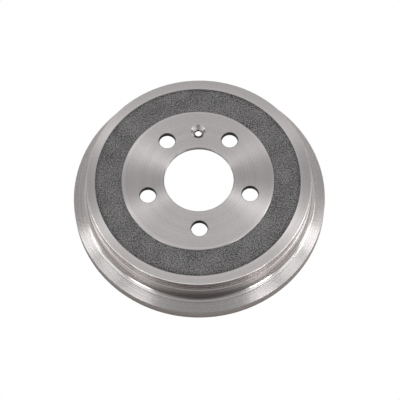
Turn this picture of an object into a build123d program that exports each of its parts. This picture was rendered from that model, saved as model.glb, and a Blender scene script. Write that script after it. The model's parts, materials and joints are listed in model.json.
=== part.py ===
from build123d import *
import math
import os

# A brake drum for a small car: one grey-iron casting, turned where it has to run true.
# It lies on its open rim. The origin is the centre of that rim and +Z points at the closed face,
# so every height below is measured up from the open rim. Sizes are in millimetres.

# Whole drum: its depth, the bore that the shoes press on, and the walls round it
overall_height = 49.0
web_thickness = 6.5
friction_diameter = 200.0
barrel_wall = 5.4

# Mounting face, which the wheel is clamped to, and the holes in it
mounting_face_diameter = 142.5
mounting_face_edge = 0.4
hub_bore_diameter = 65.0
hub_bore_outer_chamfer = 0.5
hub_bore_inner_chamfer = 1.0
stud_circle_diameter = 100.0
stud_count = 5
stud_hole_diameter = 15.3
stud_hole_chamfer = 0.5
first_stud_angle = -90.0
screw_hole_diameter = 6.6
screw_head_diameter = 14.2
screw_head_angle = 90.0

# Closed end outside the mounting face: a ring left as cast, then a turned ring
cast_ring_drop = 1.3
turned_ring_drop = 1.8
turned_ring_width = 9.2
turned_ring_edge = 0.5

# Outside of the barrel: a turned upper band, a small step, then a fillet into the flange
barrel_step = 0.5
barrel_step_drop = 13.5
flange_fillet_radius = 8.5

# Flange at the open end, and the rim that hangs from it
flange_reach = 13.4
flange_slope = 31.5
rim_height = 12.3
rim_upper_edge = 0.5
rim_lower_edge = 0.6

# Groove in the open rim, which the lip of the backing plate runs in
mouth_wall = 7.0
rim_wall = 5.8
groove_depth = 8.5
groove_corner = 1.2

# Inside of the barrel: mouth, friction surface, run-out relief and shoulder
mouth_setback = 1.0
mouth_chamfer = 1.0
relief_depth = 0.8
relief_width = 2.0
shoulder_width = 2.5
shoulder_height = 1.5
shoulder_fillet_radius = 3.0

# Inside of the closed end: the hub seat is turned, the rest of the web is as cast
hub_seat_diameter = 136.0
cast_web_recess = 0.5

# Radii that follow from the sizes above
bore_radius = hub_bore_diameter / 2
mounting_face_radius = mounting_face_diameter / 2
hub_seat_radius = hub_seat_diameter / 2
stud_circle_radius = stud_circle_diameter / 2
friction_radius = friction_diameter / 2
relief_radius = friction_radius + relief_depth
shoulder_radius = friction_radius - shoulder_width
barrel_radius = friction_radius + barrel_wall
cast_ring_radius = barrel_radius - turned_ring_width
lower_barrel_radius = barrel_radius + barrel_step
rim_radius = lower_barrel_radius + flange_reach
groove_inner_radius = friction_radius + mouth_wall
groove_outer_radius = rim_radius - rim_wall

# Heights that follow from the sizes above
hub_seat_height = overall_height - web_thickness
cast_web_height = hub_seat_height + cast_web_recess
shoulder_face_height = cast_web_height - shoulder_height
friction_top_height = shoulder_face_height - relief_width
cast_ring_height = overall_height - cast_ring_drop
turned_ring_height = overall_height - turned_ring_drop
barrel_step_height = overall_height - barrel_step_drop
flange_fall = math.tan(math.radians(flange_slope))
flange_root_height = rim_height + flange_reach * flange_fall
flange_edge_height = rim_height + rim_upper_edge * flange_fall

# The screw hole is halfway between the two stud holes that lie farthest from the first one
stud_pitch_angle = 360 / stud_count
screw_angle = first_stud_angle + (stud_count // 2 + 0.5) * stud_pitch_angle


def drum_section():
    """Half section of the drum as (radius, height, corner radius), right round the outline."""
    closed_face = [
        (bore_radius + hub_bore_outer_chamfer, overall_height, 0),
        (mounting_face_radius - mounting_face_edge, overall_height, 0),
        (mounting_face_radius, overall_height - mounting_face_edge, 0),
        (mounting_face_radius, cast_ring_height, 0),
        (cast_ring_radius, cast_ring_height, 0),
        (cast_ring_radius, turned_ring_height, 0),
    ]
    barrel_outside = [
        (barrel_radius - turned_ring_edge, turned_ring_height, 0),
        (barrel_radius, turned_ring_height - turned_ring_edge, 0),
        (barrel_radius, barrel_step_height, 0),
        (lower_barrel_radius, barrel_step_height - barrel_step, 0),
        (lower_barrel_radius, flange_root_height, flange_fillet_radius),
    ]
    rim = [
        (rim_radius - rim_upper_edge, flange_edge_height, 0),
        (rim_radius, rim_height - rim_upper_edge, 0),
        (rim_radius, rim_lower_edge, 0),
        (rim_radius - rim_lower_edge, 0, 0),
    ]
    groove = [
        (groove_outer_radius, 0, 0),
        (groove_outer_radius, groove_depth - groove_corner, 0),
        (groove_outer_radius - groove_corner, groove_depth, 0),
        (groove_inner_radius + groove_corner, groove_depth, 0),
        (groove_inner_radius, groove_depth - groove_corner, 0),
        (groove_inner_radius, mouth_setback, 0),
    ]
    barrel_inside = [
        (friction_radius + mouth_chamfer, mouth_setback, 0),
        (friction_radius, mouth_setback + mouth_chamfer, 0),
        (friction_radius, friction_top_height, 0),
        (relief_radius, friction_top_height + relief_depth, 0),
        (relief_radius, shoulder_face_height, 0),
        (shoulder_radius, shoulder_face_height, 0),
    ]
    web_inside = [
        (shoulder_radius - shoulder_height, cast_web_height, shoulder_fillet_radius),
        (hub_seat_radius + cast_web_recess, cast_web_height, 0),
        (hub_seat_radius, hub_seat_height, 0),
        (bore_radius + hub_bore_inner_chamfer, hub_seat_height, 0),
        (bore_radius, hub_seat_height + hub_bore_inner_chamfer, 0),
        (bore_radius, overall_height - hub_bore_outer_chamfer, 0),
    ]
    return closed_face + barrel_outside + rim + groove + barrel_inside + web_inside


def drum_casting():
    """The casting as it comes off the lathe, before it is drilled."""
    corners = drum_section()
    points = [(radius, height) for radius, height, _ in corners]
    fillets = [fillet for _, _, fillet in corners]
    with BuildPart() as casting:
        with BuildSketch(Plane.XZ):
            with BuildLine():
                FilletPolyline(*points, radius=fillets, close=True)
            make_face()
        revolve(axis=Axis.Z)
    return casting.part


def brake_drum():
    """The casting with its stud holes and the countersunk hole of its locating screw."""
    with BuildPart() as drum:
        add(drum_casting())
        with Locations(Plane.XY.offset(overall_height)):
            with PolarLocations(stud_circle_radius, stud_count, first_stud_angle):
                Hole(stud_hole_diameter / 2, web_thickness)
            stud_edges = drum.edges(Select.LAST).filter_by(GeomType.CIRCLE)
            chamfer(stud_edges, stud_hole_chamfer)
            with PolarLocations(stud_circle_radius, 1, screw_angle):
                CounterSinkHole(
                    screw_hole_diameter / 2,
                    screw_head_diameter / 2,
                    web_thickness,
                    screw_head_angle,
                )
    return drum.part


os.makedirs("parts", exist_ok=True)
export_step(brake_drum(), "parts/brake_drum.step")
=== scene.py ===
import json
import math

import bmesh
import bpy
from mathutils import Matrix, Vector, noise


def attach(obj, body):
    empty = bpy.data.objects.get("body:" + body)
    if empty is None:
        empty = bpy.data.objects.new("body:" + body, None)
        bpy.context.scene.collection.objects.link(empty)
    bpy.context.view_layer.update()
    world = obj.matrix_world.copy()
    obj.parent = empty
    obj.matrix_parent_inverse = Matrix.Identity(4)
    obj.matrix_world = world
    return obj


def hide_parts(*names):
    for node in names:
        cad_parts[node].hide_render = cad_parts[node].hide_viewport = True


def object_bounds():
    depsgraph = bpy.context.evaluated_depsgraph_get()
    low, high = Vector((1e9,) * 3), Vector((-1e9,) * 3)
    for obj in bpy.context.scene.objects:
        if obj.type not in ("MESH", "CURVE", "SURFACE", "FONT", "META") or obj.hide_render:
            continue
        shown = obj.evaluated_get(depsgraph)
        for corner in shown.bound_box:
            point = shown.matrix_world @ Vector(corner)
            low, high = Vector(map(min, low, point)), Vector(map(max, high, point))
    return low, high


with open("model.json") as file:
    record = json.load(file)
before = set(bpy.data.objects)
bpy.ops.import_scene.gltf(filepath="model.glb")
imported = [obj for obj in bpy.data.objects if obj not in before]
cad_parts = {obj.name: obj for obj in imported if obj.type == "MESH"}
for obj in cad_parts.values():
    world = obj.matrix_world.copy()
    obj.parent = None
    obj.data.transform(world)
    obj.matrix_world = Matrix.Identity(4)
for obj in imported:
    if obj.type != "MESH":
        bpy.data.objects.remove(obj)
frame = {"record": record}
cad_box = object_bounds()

# The casting. A brake drum is one piece of grey iron, poured in sand and blasted clean, then turned
# and bored wherever it has to run true. It is spun here from the outline of its section, as the lathe
# leaves it, in stretches of one finish each, and then drilled.
mounts = {mount["name"]: mount for mount in frame["record"]["mounts"]}


def stated(mount, size):
    """A size that the record states for a mount, in metres."""
    return mounts[mount]["dims"][size] / 1000


top = cad_box[1][2]
seat_height = mounts["hub_seat"]["pos_m"][2]
bore_radius = stated("hub_bore", "r_mm")
stud_circle_radius = stated("stud_holes", "pcd_mm") / 2
stud_radius = stated("stud_holes", "hole_r_mm")
screw_radius = stated("screw_hole", "r_mm")
screw_length = stated("screw_hole", "length_mm")
friction_radius = stated("friction_surface", "r_mm")
friction_middle = mounts["friction_surface"]["pos_m"][2]
friction_half = stated("friction_surface", "length_mm") / 2
rim_radius = cad_box[1][0]

mounting_face_radius = 0.07125
mounting_face_edge = 0.0004
cast_ring_radius = 0.0960
cast_ring_drop = 0.0013
cast_ring_chamfer = 0.0002
turned_ring_drop = 0.0018
turned_ring_edge = 0.0006
barrel_radius = 0.1054
score_drops = (0.0026, 0.0070)
score_half_width = 0.0005
score_depth = 0.00018
barrel_step = 0.0005
barrel_step_drop = 0.0153
step_lead = 0.0012
step_fall = 0.00005
step_hollow_drop = 0.0014
step_hollow_depth = 0.00012
step_hollow_half_width = 0.0006
flange_slope = math.radians(31.5)
flange_fillet = 0.0087
ridge_lead = 0.0001
ridge_height = 0.00028
ridge_crest = 0.0008
ridge_width = 0.0014
rim_height = 0.0123
rim_shoulder_drop = 0.0010
rim_upper_edge = 0.0004
rim_lower_edge = 0.0005
groove_inner_radius = 0.1070
groove_outer_radius = 0.1135
groove_depth = 0.0085
groove_fillet = 0.0012
mouth_setback = 0.0010
relief_depth = 0.0008
shoulder_width = 0.0025
shoulder_height = 0.0015
shoulder_fillet = 0.0030
hub_seat_radius = 0.0680
cast_web_recess = 0.0005
cast_web_band = 0.004

cast_ring_height = top - cast_ring_drop
turned_ring_height = top - turned_ring_drop
step_height = top - barrel_step_drop
lower_barrel_radius = barrel_radius + barrel_step
flange_root = rim_height + (rim_radius - lower_barrel_radius) * math.tan(flange_slope)
friction_top = friction_middle + friction_half
friction_foot = friction_middle - friction_half
cast_web_height = seat_height + cast_web_recess
shoulder_face = cast_web_height - shoulder_height
shoulder_radius = friction_radius - shoulder_width

# The finishes, numbered in the order of the casting's materials.
TURNED, BAND, LOWER, FINE, RIM, FACED, CAST, DRILLED = range(8)
turns = 600
casting = bmesh.new()


def lathe(corners, finish, steps=turns, centre=(0, 0)):
    """Spins a line of (radius, height, fillet radius, fillet segments) corners about an upright axis."""
    x, y = centre
    stretch = bmesh.new()
    line = [stretch.verts.new((x + corner[0], y, corner[1])) for corner in corners]
    for pair in zip(line, line[1:]):
        stretch.edges.new(pair)
    arcs = [(vert, corner[2] * math.tan((vert.co - before.co).angle(after.co - vert.co) / 2), corner[3])
            for corner, before, vert, after in zip(corners[1:], line, line[1:], line[2:])
            if len(corner) > 2]
    for vert, reach, segments in arcs:
        bmesh.ops.bevel(stretch, geom=[vert], offset=reach, offset_type="OFFSET", segments=segments,
                        profile=0.5, affect="VERTICES", material=-1)
    bmesh.ops.spin(stretch, geom=stretch.verts[:] + stretch.edges[:], cent=(x, y, 0), axis=(0, 0, 1),
                   angle=2 * math.pi, steps=steps, use_merge=True, use_duplicate=False)
    for face in stretch.faces:
        face.material_index = finish
    part = bpy.data.meshes.new("stretch")
    stretch.to_mesh(part)
    stretch.free()
    casting.from_mesh(part)
    bpy.data.meshes.remove(part)


def even_line(start, end, parts):
    """The corners of a straight line cut into equal parts."""
    return [(start[0] + (end[0] - start[0]) * i / parts, start[1] + (end[1] - start[1]) * i / parts)
            for i in range(parts + 1)]


# The ring left as cast isn't quite true to the lathe's centre. The corners below it are those where
# one finish ends and the next one begins.
cast_ring_centre = (-0.0010, -0.0004)
mounting_edge = (mounting_face_radius, cast_ring_height)
cast_ring_edge = (cast_ring_radius, cast_ring_height)
ring_inner = (cast_ring_radius + cast_ring_chamfer, turned_ring_height)
ring_outer = (barrel_radius - 1.5 * turned_ring_edge, turned_ring_height)
step_edge = (barrel_radius - barrel_step / 2, step_height)
step_hollow = step_height - step_hollow_drop
rim_shoulder = (rim_radius, rim_height - rim_shoulder_drop)
web_corner = (hub_seat_radius + cast_web_recess, cast_web_height)
web_rim = (shoulder_radius - cast_web_band, cast_web_height)
grain_rows = 28

fillet_reach = flange_fillet * math.tan((math.pi / 2 - flange_slope) / 2)
ridge = lower_barrel_radius + fillet_reach * math.cos(flange_slope) + ridge_lead
fillet_start = (lower_barrel_radius, flange_root + fillet_reach)


def on_flange(radius, lift=0.0):
    """The corner where the flange has this radius, lifted off it by a little."""
    return (radius, rim_height + (rim_radius - radius) * math.tan(flange_slope) + lift)


def score(drop):
    """The corners of a shallow line turned into the barrel, from its upper lip to its lower lip."""
    lip = turned_ring_height - drop
    return [(barrel_radius, lip), (barrel_radius - score_depth, lip - score_half_width),
            (barrel_radius, lip - 2 * score_half_width)]


lathe([(mounting_face_radius - mounting_face_edge, top),
       (mounting_face_radius, top - mounting_face_edge),
       mounting_edge], FACED, centre=cast_ring_centre)
lathe(even_line(mounting_edge, cast_ring_edge, grain_rows), CAST, centre=cast_ring_centre)
lathe([cast_ring_edge, ring_inner], TURNED, centre=cast_ring_centre)
lathe([ring_outer,
       (barrel_radius, turned_ring_height, turned_ring_edge, 4)]
      + score(score_drops[0]) + score(score_drops[1])
      + [(barrel_radius, step_height + step_lead), step_edge], BAND)
lathe([step_edge,
       (lower_barrel_radius, step_height - step_fall),
       (lower_barrel_radius, step_hollow + step_hollow_half_width),
       (lower_barrel_radius - step_hollow_depth, step_hollow),
       (lower_barrel_radius, step_hollow - step_hollow_half_width),
       fillet_start], LOWER)
lathe([fillet_start,
       (lower_barrel_radius, flange_root, flange_fillet, 14),
       on_flange(ridge)], FINE)
lathe([on_flange(ridge),
       on_flange(ridge + ridge_crest, ridge_height),
       on_flange(ridge + ridge_width),
       (rim_radius, rim_height, rim_upper_edge, 3),
       rim_shoulder], TURNED)
lathe([rim_shoulder,
       (rim_radius, 0, rim_lower_edge, 3),
       (groove_outer_radius, 0)], RIM)
lathe([(groove_outer_radius, 0),
       (groove_outer_radius, groove_depth, groove_fillet, 4),
       (groove_inner_radius, groove_depth, groove_fillet, 4),
       (groove_inner_radius, mouth_setback),
       (friction_radius + friction_foot - mouth_setback, mouth_setback),
       (friction_radius, friction_foot),
       (friction_radius, friction_top),
       (friction_radius + relief_depth, friction_top + relief_depth),
       (friction_radius + relief_depth, shoulder_face),
       (shoulder_radius, shoulder_face)], TURNED)
lathe([(shoulder_radius, shoulder_face),
       (shoulder_radius - shoulder_height, cast_web_height, shoulder_fillet, 5),
       web_rim], CAST)
lathe(even_line(web_rim, web_corner, grain_rows), CAST)
lathe([web_corner, (hub_seat_radius, seat_height)], TURNED)


def drill(radius, upper_edge, lower_edge, steps, centre, edge_finish, wall_finish):
    """A hole right through the closed end, with a chamfer at each end of its wall."""
    wall = [(radius, top - upper_edge), (radius, seat_height + lower_edge)]
    lathe([(radius + upper_edge, top), wall[0]], edge_finish, steps, centre)
    lathe(wall, wall_finish, steps, centre)
    if lower_edge:
        lathe([wall[1], (radius + lower_edge, seat_height)], TURNED, steps, centre)


bore_upper_edge = 0.0004
bore_lower_edge = 0.0032
stud_upper_edge = 0.0005
stud_lower_edge = 0.0013
bore_turns = 240
hole_turns = 72
drill(bore_radius, bore_upper_edge, bore_lower_edge, bore_turns, (0, 0), TURNED, LOWER)
stud_count = mounts["stud_holes"]["dims"]["count"]
for mark in range(stud_count):
    angle = math.radians(360 * mark / stud_count - 90)
    place = (stud_circle_radius * math.cos(angle), stud_circle_radius * math.sin(angle))
    drill(stud_radius, stud_upper_edge, stud_lower_edge, hole_turns, place, DRILLED, DRILLED)
screw_head = top - seat_height - screw_length
screw_place = mounts["screw_hole"]["pos_m"][:2]
drill(screw_radius, screw_head, 0, hole_turns, screw_place, TURNED, DRILLED)

# The stretches are joined along their shared edges. The mounting face, the turned ring and the hub
# seat are flat, so each is filled in between the edges that it already has.
join_distance = 0.00001
bmesh.ops.remove_doubles(casting, verts=casting.verts, dist=join_distance)
for height in (top, turned_ring_height, seat_height):
    loops = [edge for edge in casting.edges
             if edge.is_boundary and all(abs(vert.co.z - height) < 1e-6 for vert in edge.verts)]
    filled = bmesh.ops.triangle_fill(casting, edges=loops, use_beauty=True, use_dissolve=False)
    for face in filled["geom"]:
        if isinstance(face, bmesh.types.BMFace):
            face.material_index = FACED
bmesh.ops.recalc_face_normals(casting, faces=casting.faces)

# Sand leaves the ring round the mounting face, and the web inside, rough. The skin rises and falls by
# about a tenth of a millimetre, and the blasting has rounded it over.
grain_height = 0.00016
grain_size = 420
sharp_angle = math.radians(28)
for vert in casting.verts:
    if all(face.material_index == CAST for face in vert.link_faces):
        rough = noise.fractal(vert.co * grain_size, 0.9, 2.0, 3)
        vert.co.z += grain_height * rough
for edge in casting.edges:
    edge.smooth = edge.calc_face_angle(0) < sharp_angle
for face in casting.faces:
    face.smooth = True
bmesh.ops.triangulate(casting, faces=[face for face in casting.faces if len(face.verts) > 4])

casting_mesh = bpy.data.meshes.new("drum_casting")
casting.to_mesh(casting_mesh)
casting.free()
drum = bpy.data.objects.new("drum_casting", casting_mesh)
bpy.context.scene.collection.objects.link(drum)


def node(tree, kind, inputs=None, **settings):
    """Adds a node to a tree. Each input gets a value, or is joined to another node's output."""
    added = tree.nodes.new("ShaderNode" + kind)
    for name, setting in settings.items():
        setattr(added, name, setting)
    for socket, value in (inputs or {}).items():
        if isinstance(value, bpy.types.NodeSocket):
            tree.links.new(value, added.inputs[socket])
        else:
            added.inputs[socket].default_value = value
    return added


def new_material(name, metallic):
    """A material with its node tree and its shader."""
    material = bpy.data.materials.new(name)
    material.use_nodes = True
    shader = material.node_tree.nodes["Principled BSDF"]
    shader.inputs["Metallic"].default_value = metallic
    return material, material.node_tree, shader


def turning_marks():
    """The trace of a cutting tool: close feed lines and broader bands that run round with the cut."""
    group = bpy.data.node_groups.new("turning marks", "ShaderNodeTree")
    for name, way in (("Feed", "INPUT"), ("Tone", "OUTPUT"), ("Height", "OUTPUT")):
        group.interface.new_socket(name, in_out=way, socket_type="NodeSocketFloat")
    feed = group.nodes.new("NodeGroupInput").outputs["Feed"]
    out = group.nodes.new("NodeGroupOutput")
    place = node(group, "TexCoord").outputs["Object"]
    height = node(group, "SeparateXYZ", {0: place}).outputs["Z"]
    flat = node(group, "VectorMath", {0: place, 1: (1, 1, 0)}, operation="MULTIPLY").outputs[0]
    radius = node(group, "VectorMath", {0: flat}, operation="LENGTH").outputs["Value"]
    bearing = node(group, "VectorMath", {0: flat}, operation="NORMALIZE").outputs[0]
    travel = node(group, "Math", {0: radius, 1: height}, operation="SUBTRACT").outputs[0]
    count = node(group, "Math", {0: travel, 1: feed}, operation="DIVIDE").outputs[0]
    layers = []
    for drift, lines, detail in ((0.04, 1.0, 2), (0.04, 0.12, 3)):
        step = node(group, "Math", {0: count, 1: lines}, operation="MULTIPLY").outputs[0]
        across = node(group, "CombineXYZ", {"Z": step}).outputs[0]
        wander = (drift, drift, 0)
        where = node(group, "VectorMath", {0: bearing, 1: wander, 2: across}, operation="MULTIPLY_ADD")
        layers.append(node(group, "TexNoise", {"Vector": where.outputs[0], "Scale": 1.0,
                                               "Detail": detail, "Roughness": 0.6}).outputs["Fac"])
    fine, broad = layers
    tone = node(group, "Mix", {"Factor": 0.6, "A": fine, "B": broad})
    group.links.new(tone.outputs["Result"], out.inputs["Tone"])
    tall = node(group, "Math", {0: broad, 1: 3.0, 2: fine}, operation="MULTIPLY_ADD").outputs[0]
    group.links.new(tall, out.inputs["Height"])
    return group


marks = turning_marks()


def cast_ring_offset():
    """How far a place is from the middle line of the ring left as cast, in metres."""
    group = bpy.data.node_groups.new("cast ring offset", "ShaderNodeTree")
    group.interface.new_socket("Offset", in_out="OUTPUT", socket_type="NodeSocketFloat")
    out = group.nodes.new("NodeGroupOutput")
    place = node(group, "TexCoord").outputs["Object"]
    from_centre = node(group, "VectorMath", {0: place, 1: (*cast_ring_centre, 0)}, operation="SUBTRACT")
    flat = node(group, "VectorMath", {0: from_centre.outputs[0], 1: (1, 1, 0)}, operation="MULTIPLY")
    radius = node(group, "VectorMath", {0: flat.outputs[0]}, operation="LENGTH").outputs["Value"]
    middle = (mounting_face_radius + cast_ring_radius) / 2
    offset = node(group, "Math", {0: radius, 1: middle}, operation="SUBTRACT")
    group.links.new(offset.outputs[0], out.inputs["Offset"])
    return group


offset_in_ring = cast_ring_offset()
cast_ring_half = (cast_ring_radius - mounting_face_radius) / 2
# Painted highlight: the faced iron is coloured lighter in a band along both edges of the cast ring.
painted_highlight_near = cast_ring_half + 0.0005
painted_highlight_far = cast_ring_half + 0.0040
# Painted shade: the cast skin is coloured darker towards the ring's outer edge, where it steps down to
# the turned ring.
painted_shade_near = cast_ring_half - 0.0004
painted_shade_far = cast_ring_half - 0.0040


def machined_iron(name, roughness, brushing, feed, relief, graininess, dark, light, painted_edge_highlight=0.0):
    """Grey iron as the tool leaves it: bright, brushed along the cut, and faintly warm."""
    material, tree, shader = new_material(name, 1)
    place = node(tree, "TexCoord").outputs["Object"]
    around = node(tree, "VectorMath", {0: (0, 0, 1), 1: place}, operation="CROSS_PRODUCT").outputs[0]
    cut = node(tree, "VectorMath", {0: around}, operation="NORMALIZE").outputs[0]
    tree.links.new(cut, shader.inputs["Tangent"])
    shader.inputs["Anisotropic"].default_value = brushing
    shader.inputs["Anisotropic Rotation"].default_value = 0.25
    trace = node(tree, "Group", {}, node_tree=marks)
    trace.inputs["Feed"].default_value = feed
    grain = node(tree, "TexNoise", {"Vector": place, "Scale": 620, "Detail": 3, "Roughness": 0.7})
    tone = node(tree, "Mix", {"Factor": graininess, "A": trace.outputs["Tone"],
                              "B": grain.outputs["Fac"]})
    shade = tone.outputs["Result"]
    # A painted highlight: the base colour is lifted by up to this amount beside the cast ring, and it
    # fades out about 4 mm away.
    if painted_edge_highlight:
        offset = node(tree, "Group", {}, node_tree=offset_in_ring).outputs["Offset"]
        away = node(tree, "Math", {0: offset}, operation="ABSOLUTE").outputs[0]
        shine = node(tree, "MapRange", {"Value": away, "From Min": painted_highlight_near, "From Max": painted_highlight_far,
                                        "To Min": painted_edge_highlight, "To Max": 0.0})
        shade = node(tree, "Math", {0: shade, 1: shine.outputs["Result"]}, operation="ADD").outputs[0]
    colour = node(tree, "ValToRGB", {"Fac": shade})
    colour.color_ramp.elements[0].position = 0.4
    colour.color_ramp.elements[0].color = (*dark, 1)
    colour.color_ramp.elements[1].position = 0.6
    colour.color_ramp.elements[1].color = (*light, 1)
    tree.links.new(colour.outputs["Color"], shader.inputs["Base Color"])
    polish = node(tree, "MapRange", {"Value": trace.outputs["Tone"], "From Min": 0.3, "From Max": 0.7,
                                     "To Min": roughness * 1.1, "To Max": roughness * 0.9})
    tree.links.new(polish.outputs["Result"], shader.inputs["Roughness"])
    bump = node(tree, "Bump", {"Height": trace.outputs["Height"], "Strength": 1.0, "Distance": relief})
    tree.links.new(bump.outputs["Normal"], shader.inputs["Normal"])
    return material


def cast_skin():
    """The skin as cast and blasted: dark grey, dull, and mottled at the size of the sand."""
    material, tree, shader = new_material("cast skin", 0.35)
    place = node(tree, "TexCoord").outputs["Object"]
    sand = node(tree, "TexNoise", {"Vector": place, "Scale": 900, "Detail": 3, "Roughness": 0.6})
    patches = node(tree, "TexNoise", {"Vector": place, "Scale": 60, "Detail": 2, "Roughness": 0.5})
    shade = node(tree, "Mix", {"Factor": 0.12, "A": sand.outputs["Fac"], "B": patches.outputs["Fac"]})
    offset = node(tree, "Group", {}, node_tree=offset_in_ring).outputs["Offset"]
    # Painted shade: the mottled tone is lowered by up to 0.06 over the last 4 mm before the ring's outer
    # edge.
    corner = node(tree, "MapRange", {"Value": offset, "From Min": painted_shade_far, "From Max": painted_shade_near,
                                     "To Min": 0.0, "To Max": 0.06})
    mottling_and_painted_shade = node(tree, "Math", {0: shade.outputs["Result"], 1: corner.outputs["Result"]},
                 operation="SUBTRACT")
    tone = node(tree, "ValToRGB", {"Fac": mottling_and_painted_shade.outputs[0]})
    tone.color_ramp.elements[0].position = 0.41
    tone.color_ramp.elements[0].color = (0.041, 0.040, 0.040, 1)
    tone.color_ramp.elements[1].position = 0.59
    tone.color_ramp.elements[1].color = (0.300, 0.291, 0.295, 1)
    tree.links.new(tone.outputs["Color"], shader.inputs["Base Color"])
    shader.inputs["Roughness"].default_value = 0.72
    bump = node(tree, "Bump", {"Height": sand.outputs["Fac"], "Strength": 0.8, "Distance": 0.0003})
    tree.links.new(bump.outputs["Normal"], shader.inputs["Normal"])
    return material


def drilled_iron():
    """The walls of the stud and screw holes: cut clean, with the rings that a drill leaves in them, and
    coloured near black as painted shade.
    """
    material, tree, shader = new_material("drilled iron, painted shade", 1)
    place = node(tree, "TexCoord").outputs["Object"]
    height = node(tree, "SeparateXYZ", {0: place}).outputs["Z"]
    depth = node(tree, "CombineXYZ", {"Z": height}).outputs[0]
    rings = node(tree, "TexNoise", {"Vector": depth, "Scale": 2600, "Detail": 2, "Roughness": 0.6})
    # Painted shade: the ramp runs from near black to dark grey so that the holes look shaded inside. The
    # noise between its ends is the drill's rings.
    colour = node(tree, "ValToRGB", {"Fac": rings.outputs["Fac"]})
    colour.color_ramp.elements[0].position = 0.3
    colour.color_ramp.elements[0].color = (0.080, 0.076, 0.075, 1)
    colour.color_ramp.elements[1].position = 0.7
    colour.color_ramp.elements[1].color = (0.150, 0.143, 0.142, 1)
    tree.links.new(colour.outputs["Color"], shader.inputs["Base Color"])
    polish = node(tree, "MapRange", {"Value": rings.outputs["Fac"], "To Min": 0.42, "To Max": 0.26})
    tree.links.new(polish.outputs["Result"], shader.inputs["Roughness"])
    bump = node(tree, "Bump", {"Height": rings.outputs["Fac"], "Strength": 1.0, "Distance": 0.00002})
    tree.links.new(bump.outputs["Normal"], shader.inputs["Normal"])
    return material


# One finish for each cut: the smoothest on the upper barrel, the brushed one on the lower barrel and in
# the bore, the fine one in the fillet, and the rim's own on the rim. They are one iron, and their base
# colours are
# lit and shaded copies of it: lighter on the upper and lower barrel and in the bore, and darker on the
# rim, as painted light and shade.
turned_iron = machined_iron("turned iron", roughness=0.25, brushing=0.3, feed=0.0003,
                            relief=0.000004, graininess=0.3,
                            dark=(0.490, 0.469, 0.465), light=(0.705, 0.674, 0.669))
band_iron = machined_iron("upper barrel iron, painted lighter", roughness=0.17, brushing=0.3, feed=0.0003,
                          relief=0.000001, graininess=0.2,
                          dark=(0.690, 0.655, 0.650), light=(0.860, 0.820, 0.815))
lower_iron = machined_iron("brushed turned iron", roughness=0.38, brushing=0.85, feed=0.0003,
                           relief=0.000003, graininess=0.2,
                           dark=(0.690, 0.658, 0.653), light=(0.860, 0.822, 0.816))
fine_iron = machined_iron("fine turned iron", roughness=0.22, brushing=0.5, feed=0.0003,
                          relief=0.0000015, graininess=0.2,
                          dark=(0.570, 0.545, 0.540), light=(0.730, 0.698, 0.692))
# The rim's colour is painted darker, as painted shade.
rim_iron = machined_iron("rim iron, painted darker", roughness=0.25, brushing=0.3, feed=0.0003,
                         relief=0.000006, graininess=0.2,
                         dark=(0.415, 0.393, 0.388), light=(0.535, 0.506, 0.501))
# The faced iron carries the painted highlight beside the cast ring.
faced_iron = machined_iron("faced iron", roughness=0.34, brushing=0.96, feed=0.0003,
                           relief=0.000004, graininess=0.25,
                           dark=(0.535, 0.512, 0.507), light=(0.675, 0.645, 0.640),
                           painted_edge_highlight=0.10)
finishes = (turned_iron, band_iron, lower_iron, fine_iron, rim_iron, faced_iron,
            cast_skin(), drilled_iron())
for finish in finishes:
    casting_mesh.materials.append(finish)
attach(drum, "root")
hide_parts("brake_drum")

# The studio. The drum lies on a sheet of paper, in a dim pale room. Soft boxes stand round it in pairs,
# brighter on the right, with one more there and one overhead. The side of the lens is dark, and the
# paper is painted dark in front of the drum as painted shade, so the front of the barrel is dark too.
# The lens sees the paper as pure white.
paper_half = 3.0
# Beyond this line in front of the drum, the paper's painted shade is at its darkest.
painted_shade_front = -0.18
paper_drop = 0.0003
sheet = bmesh.new()
bmesh.ops.create_grid(sheet, x_segments=1, y_segments=1, size=paper_half)
bmesh.ops.translate(sheet, verts=sheet.verts, vec=(0, 0, cad_box[0][2] - paper_drop))
paper_mesh = bpy.data.meshes.new("paper")
sheet.to_mesh(paper_mesh)
sheet.free()
paper = bpy.data.objects.new("paper", paper_mesh)
bpy.context.scene.collection.objects.link(paper)


def white_paper():
    """Paper that the lens sees as pure white, and that the iron sees as light paper painted dark in
    front of the drum as painted shade.
    """
    material, tree, shader = new_material("white paper", 0)
    place = node(tree, "TexCoord").outputs["Object"]
    depth = node(tree, "SeparateXYZ", {0: place}).outputs["Y"]
    # Painted shade: as the iron sees it, the paper is light under and behind the drum and near black
    # from a little way in front of it.
    near = node(tree, "MapRange", {"Value": depth, "From Min": painted_shade_front, "From Max": 0.0})
    colour = node(tree, "ValToRGB", {"Fac": near.outputs["Result"]})
    colour.color_ramp.elements[0].color = (0.05, 0.044, 0.042, 1)
    colour.color_ramp.elements[1].color = (0.80, 0.79, 0.77, 1)
    for place, shade in ((0.24, (0.11, 0.098, 0.095, 1)), (0.30, (0.55, 0.509, 0.490, 1))):
        stop = colour.color_ramp.elements.new(place)
        stop.color = shade
    tree.links.new(colour.outputs["Color"], shader.inputs["Base Color"])
    shader.inputs["Roughness"].default_value = 0.9
    glow = node(tree, "Emission", {"Strength": 1.0})
    lens_ray = node(tree, "LightPath").outputs["Is Camera Ray"]
    seen = node(tree, "MixShader", {0: lens_ray, 1: shader.outputs[0], 2: glow.outputs[0]})
    tree.links.new(seen.outputs[0], tree.nodes["Material Output"].inputs["Surface"])
    return material


paper_mesh.materials.append(white_paper())
light_distance = 1.5


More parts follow.
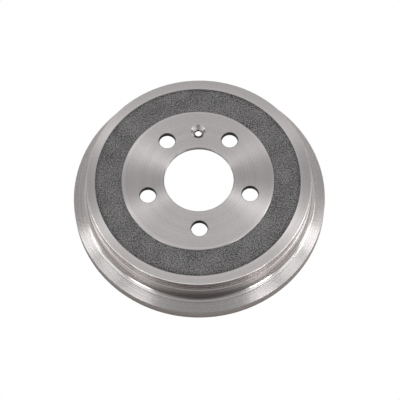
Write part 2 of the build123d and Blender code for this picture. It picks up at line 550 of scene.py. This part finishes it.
def soft_box(name, bearing, elevation, width, height, brightness):
    """A soft box facing the drum. Its bearing is counted from the lens, positive to the right."""
    lamp = bpy.data.lights.new(name, "AREA")
    lamp.shape = "RECTANGLE"
    lamp.size = width
    lamp.size_y = height
    lamp.energy = brightness * math.pi * width * height
    around = math.radians(bearing)
    rise = math.radians(elevation)
    towards = Vector((math.sin(around) * math.cos(rise),
                      -math.cos(around) * math.cos(rise),
                      math.sin(rise)))
    box = bpy.data.objects.new(name, lamp)
    box.location = towards * light_distance
    box.rotation_euler = towards.to_track_quat("Z", "Y").to_euler()
    bpy.context.scene.collection.objects.link(box)


for hand, side, share, high in (("right", 1, 1.1, 2.8), ("left", -1, 0.9, 1.5)):
    soft_box(hand + " front box, foot", side * 43, 7, 0.40, 0.36, share * 3.95)
    soft_box(hand + " front box, head", side * 44, 36, 0.40, 0.36, share * 1.55)
    soft_box(hand + " gap box, foot", side * 66, 18, 0.40, 0.50, share * 0.8)
    soft_box(hand + " gap box, head", side * 67, 43, 0.40, 0.50, share * 1.4)
    soft_box(hand + " side box, foot", side * 86, 8, 0.40, 0.36, share * 1.8)
    soft_box(hand + " side box, middle", side * 88, 24, 0.36, 0.40, share)
    soft_box(hand + " side box, head", side * 89, 40, 0.36, 0.40, share * 4.5)
    soft_box(hand + " high side box", side * 106, 60, 0.36, 0.40, high)
    soft_box(hand + " back high box", side * 152, 50, 0.35, 0.45, 0.3)
soft_box("right far box", 103, 28, 0.36, 0.44, 1.9)
soft_box("overhead box", 180, 82, 0.70, 0.70, 0.83)
world = bpy.data.worlds.new("pale room")
world.use_nodes = True
room = world.node_tree
sight = node(room, "TexCoord").outputs["Generated"]
towards_lens = node(room, "SeparateXYZ", {0: sight}).outputs["Y"]
dusk = node(room, "MapRange", {"Value": towards_lens, "From Min": -0.99, "From Max": -0.84})
walls = node(room, "ValToRGB", {"Fac": dusk.outputs["Result"]})
walls.color_ramp.elements[0].color = (0.080, 0.070, 0.068, 1)
walls.color_ramp.elements[1].color = (0.44, 0.44, 0.44, 1)
room.links.new(walls.outputs["Color"], room.nodes["Background"].inputs["Color"])
bpy.context.scene.world = world
bpy.context.scene.view_settings.view_transform = "Standard"

# The camera, as the photograph was taken: high above the front, with a long lens and a slight roll.
picture = 400
focal_pixels = 1900.0
sensor = 36.0
camera_azimuth = math.radians(0.750)
camera_elevation = math.radians(65.525)
camera_roll = math.radians(-1.491)
camera_distance = 1.7724
aim_right = 0.001097
aim_up = -0.019324

back = Vector((math.sin(camera_azimuth) * math.cos(camera_elevation),
               -math.cos(camera_azimuth) * math.cos(camera_elevation),
               math.sin(camera_elevation)))
level = Vector((math.cos(camera_azimuth), math.sin(camera_azimuth), 0))
upright = back.cross(level)
right = math.cos(camera_roll) * level + math.sin(camera_roll) * upright
up = -math.sin(camera_roll) * level + math.cos(camera_roll) * upright
lens = bpy.data.cameras.new("camera")
lens.sensor_width = sensor
lens.lens = focal_pixels * sensor / picture
lens.clip_end = 20
camera = bpy.data.objects.new("camera", lens)
camera.rotation_euler = Matrix((right, up, back)).transposed().to_euler()
camera.location = Vector((0, 0, top)) + right * aim_right + up * aim_up + back * camera_distance
bpy.context.scene.collection.objects.link(camera)
bpy.context.scene.camera = camera
